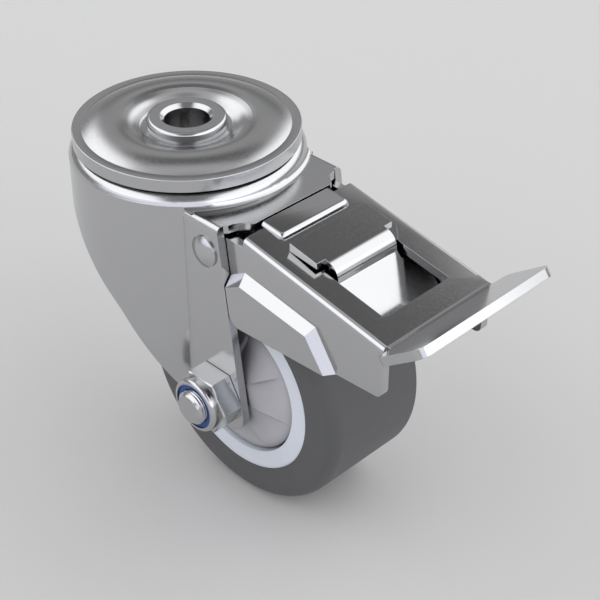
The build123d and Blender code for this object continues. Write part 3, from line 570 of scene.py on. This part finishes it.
GROUND_LEVEL = -0.1011
floor_mat, floor_tree, floor_shader = new_material("floor")
floor_cloud = noise(floor_tree, position(floor_tree, (2, 2, 2)), 1.0, 2)
floor_tree.links.new(
    tint(floor_tree, floor_cloud, (0.57, 0.57, 0.57), (0.58, 0.58, 0.58)),
    floor_shader.inputs["Base Color"],
)
floor_shader.inputs["Roughness"].default_value = 0.7
bpy.ops.mesh.primitive_plane_add(size=8, location=(0, 0, GROUND_LEVEL))
floor = bpy.context.object
floor.name = "floor"
floor.data.materials.append(floor_mat)

# World: a grey room with a white softbox on each side, seen in the polished plate


def calc(tree, operation, *values):
    """Sum, product or other result of numbers and sockets."""
    node = add(tree, "ShaderNodeMath", operation=operation)
    for place, value in enumerate(values):
        if isinstance(value, (int, float)):
            node.inputs[place].default_value = value
        else:
            tree.links.new(value, node.inputs[place])
    return node.outputs["Value"]


def rest_of(tree, value):
    """What is left of 1 after a value."""
    return calc(tree, "SUBTRACT", 1.0, value)


def blend(tree, first, second, share):
    """First value where the share is 0, second value where it is 1."""
    return calc(
        tree,
        "ADD",
        calc(tree, "MULTIPLY", first, rest_of(tree, share)),
        calc(tree, "MULTIPLY", second, share),
    )


def fade(tree, value, start, end):
    """0 below start and 1 above end, with a soft step between."""
    node = add(tree, "ShaderNodeMapRange", interpolation_type="SMOOTHSTEP")
    node.inputs["From Min"].default_value = start
    node.inputs["From Max"].default_value = end
    tree.links.new(value, node.inputs["Value"])
    return node.outputs["Result"]


def shades(tree, value, marks):
    """Grey ramp over a value from -1 to 1."""
    ramp = add(tree, "ShaderNodeValToRGB")
    ramp.color_ramp.interpolation = "EASE"
    while len(ramp.color_ramp.elements) < len(marks):
        ramp.color_ramp.elements.new(0.5)
    for element, (spot, shade) in zip(ramp.color_ramp.elements, marks):
        element.position = (spot + 1) / 2
        element.color = (shade, shade, shade, 1)
    tree.links.new(calc(tree, "MULTIPLY_ADD", value, 0.5, 0.5), ramp.inputs["Fac"])
    return ramp.outputs["Color"]


DIAGONAL = 0.70711
BOX_LIGHT = 1.86
MIRROR_GAIN = 0.2
GLOW_GAIN = 0.9
BACKDROP = 0.66
PLAIN_WHITE = (1.0, 1.0, 1.01)
COOL_WHITE = (0.93, 0.94, 1.06)

world = bpy.data.worlds.new("studio")
bpy.context.scene.world = world
world.use_nodes = True
sky = world.node_tree
background = sky.nodes["Background"]
direction = add(sky, "ShaderNodeTexCoord").outputs["Generated"]
parts = add(sky, "ShaderNodeSeparateXYZ")
sky.links.new(direction, parts.inputs["Vector"])
east, north, height = parts.outputs["X"], parts.outputs["Y"], parts.outputs["Z"]
right = calc(sky, "MULTIPLY", calc(sky, "ADD", east, north), DIAGONAL)
away = calc(sky, "MULTIPLY", calc(sky, "SUBTRACT", north, east), DIAGONAL)

far_wall = shades(
    sky,
    height,
    [
        (-1, 0.5),
        (0.0, 0.32),
        (0.2, 0.3),
        (0.33, 0.15),
        (0.45, 0.39),
        (0.65, 0.39),
        (0.70, 0.125),
        (0.84, 0.125),
        (0.90, 0.52),
        (0.97, 0.52),
        (1.0, 0.22),
    ],
)
near_wall = shades(sky, height, [(-1, 0.5), (0.0, 0.5), (0.4, 0.45), (0.6, 0.25), (1.0, 0.22)])
is_far = fade(sky, away, -0.25, 0.1)
room = blend(sky, near_wall, far_wall, is_far)
top_edge = rest_of(sky, fade(sky, height, 0.82, 0.93))
left_box = calc(
    sky,
    "MULTIPLY",
    fade(sky, calc(sky, "MULTIPLY", right, -1.0), 0.24, 0.44),
    fade(sky, height, 0.3, 0.5),
)
right_box = calc(sky, "MULTIPLY", fade(sky, right, 0.24, 0.44), fade(sky, height, 0.1, 0.28))
box = calc(sky, "MULTIPLY", calc(sky, "ADD", left_box, right_box), top_edge)

# Polished metal shows the room a little brighter than it lights the rest,
# with a cool glow low on the near side
ray = add(sky, "ShaderNodeLightPath")
in_mirror, in_view = ray.outputs["Is Glossy Ray"], ray.outputs["Is Camera Ray"]
glow_band = calc(
    sky,
    "MULTIPLY",
    fade(sky, height, 0.04, 0.16),
    rest_of(sky, fade(sky, height, 0.4, 0.52)),
)
glow = calc(sky, "MULTIPLY", calc(sky, "MULTIPLY", glow_band, rest_of(sky, is_far)), in_mirror)
room = calc(sky, "MULTIPLY", room, calc(sky, "MULTIPLY_ADD", in_mirror, MIRROR_GAIN, 1.0))
radiance = blend(sky, room, BOX_LIGHT, box)
radiance = calc(sky, "MULTIPLY_ADD", glow, GLOW_GAIN, radiance)
radiance = blend(sky, radiance, BACKDROP, in_view)
sky.links.new(radiance, background.inputs["Strength"])
sky.links.new(tint(sky, glow, PLAIN_WHITE, COOL_WHITE), background.inputs["Color"])

# Lamps: soft light from above, behind and in front, kept out of the reflections

LAMP_TARGET = Vector((0.03, 0, -0.05))
LAMP_DISTANCE = 1.0
LAMP_SIZE = 0.8


def soft_lamp(name, toward, power):
    """Square lamp that looks at the wheel from one side."""
    lamp = bpy.data.lights.new(name, "AREA")
    lamp.shape = "SQUARE"
    lamp.size = LAMP_SIZE
    lamp.energy = power
    lamp_object = bpy.data.objects.new(name, lamp)
    place = Vector(toward).normalized() * LAMP_DISTANCE + LAMP_TARGET
    lamp_object.location = place
    lamp_object.rotation_euler = (LAMP_TARGET - place).to_track_quat("-Z", "Y").to_euler()
    lamp_object.visible_glossy = False
    bpy.context.scene.collection.objects.link(lamp_object)


soft_lamp("back_light", (-0.75, 0.75, 0.9), 1.2)
soft_lamp("front_light", (0.6, -0.6, 0.9), 1.1)

# Camera: the photo's angle and lens

back = Vector((0.57735, -0.57735, 0.57735))
across = Vector((0.70711, 0.70711, 0))
upward = Vector((-0.40825, 0.40825, 0.8165))
camera = bpy.data.cameras.new("camera")
camera.sensor_width = 36
camera.lens = 87.9
camera.clip_start = 0.01
camera_object = bpy.data.objects.new("camera", camera)
camera_turn = Matrix((across, upward, back)).transposed().to_4x4()
camera_place = Matrix.Translation((0.27221, -0.22865, 0.18876))
camera_object.matrix_world = camera_place @ camera_turn
bpy.context.scene.collection.objects.link(camera_object)
bpy.context.scene.camera = camera_object
bpy.context.scene.view_settings.view_transform = "Standard"
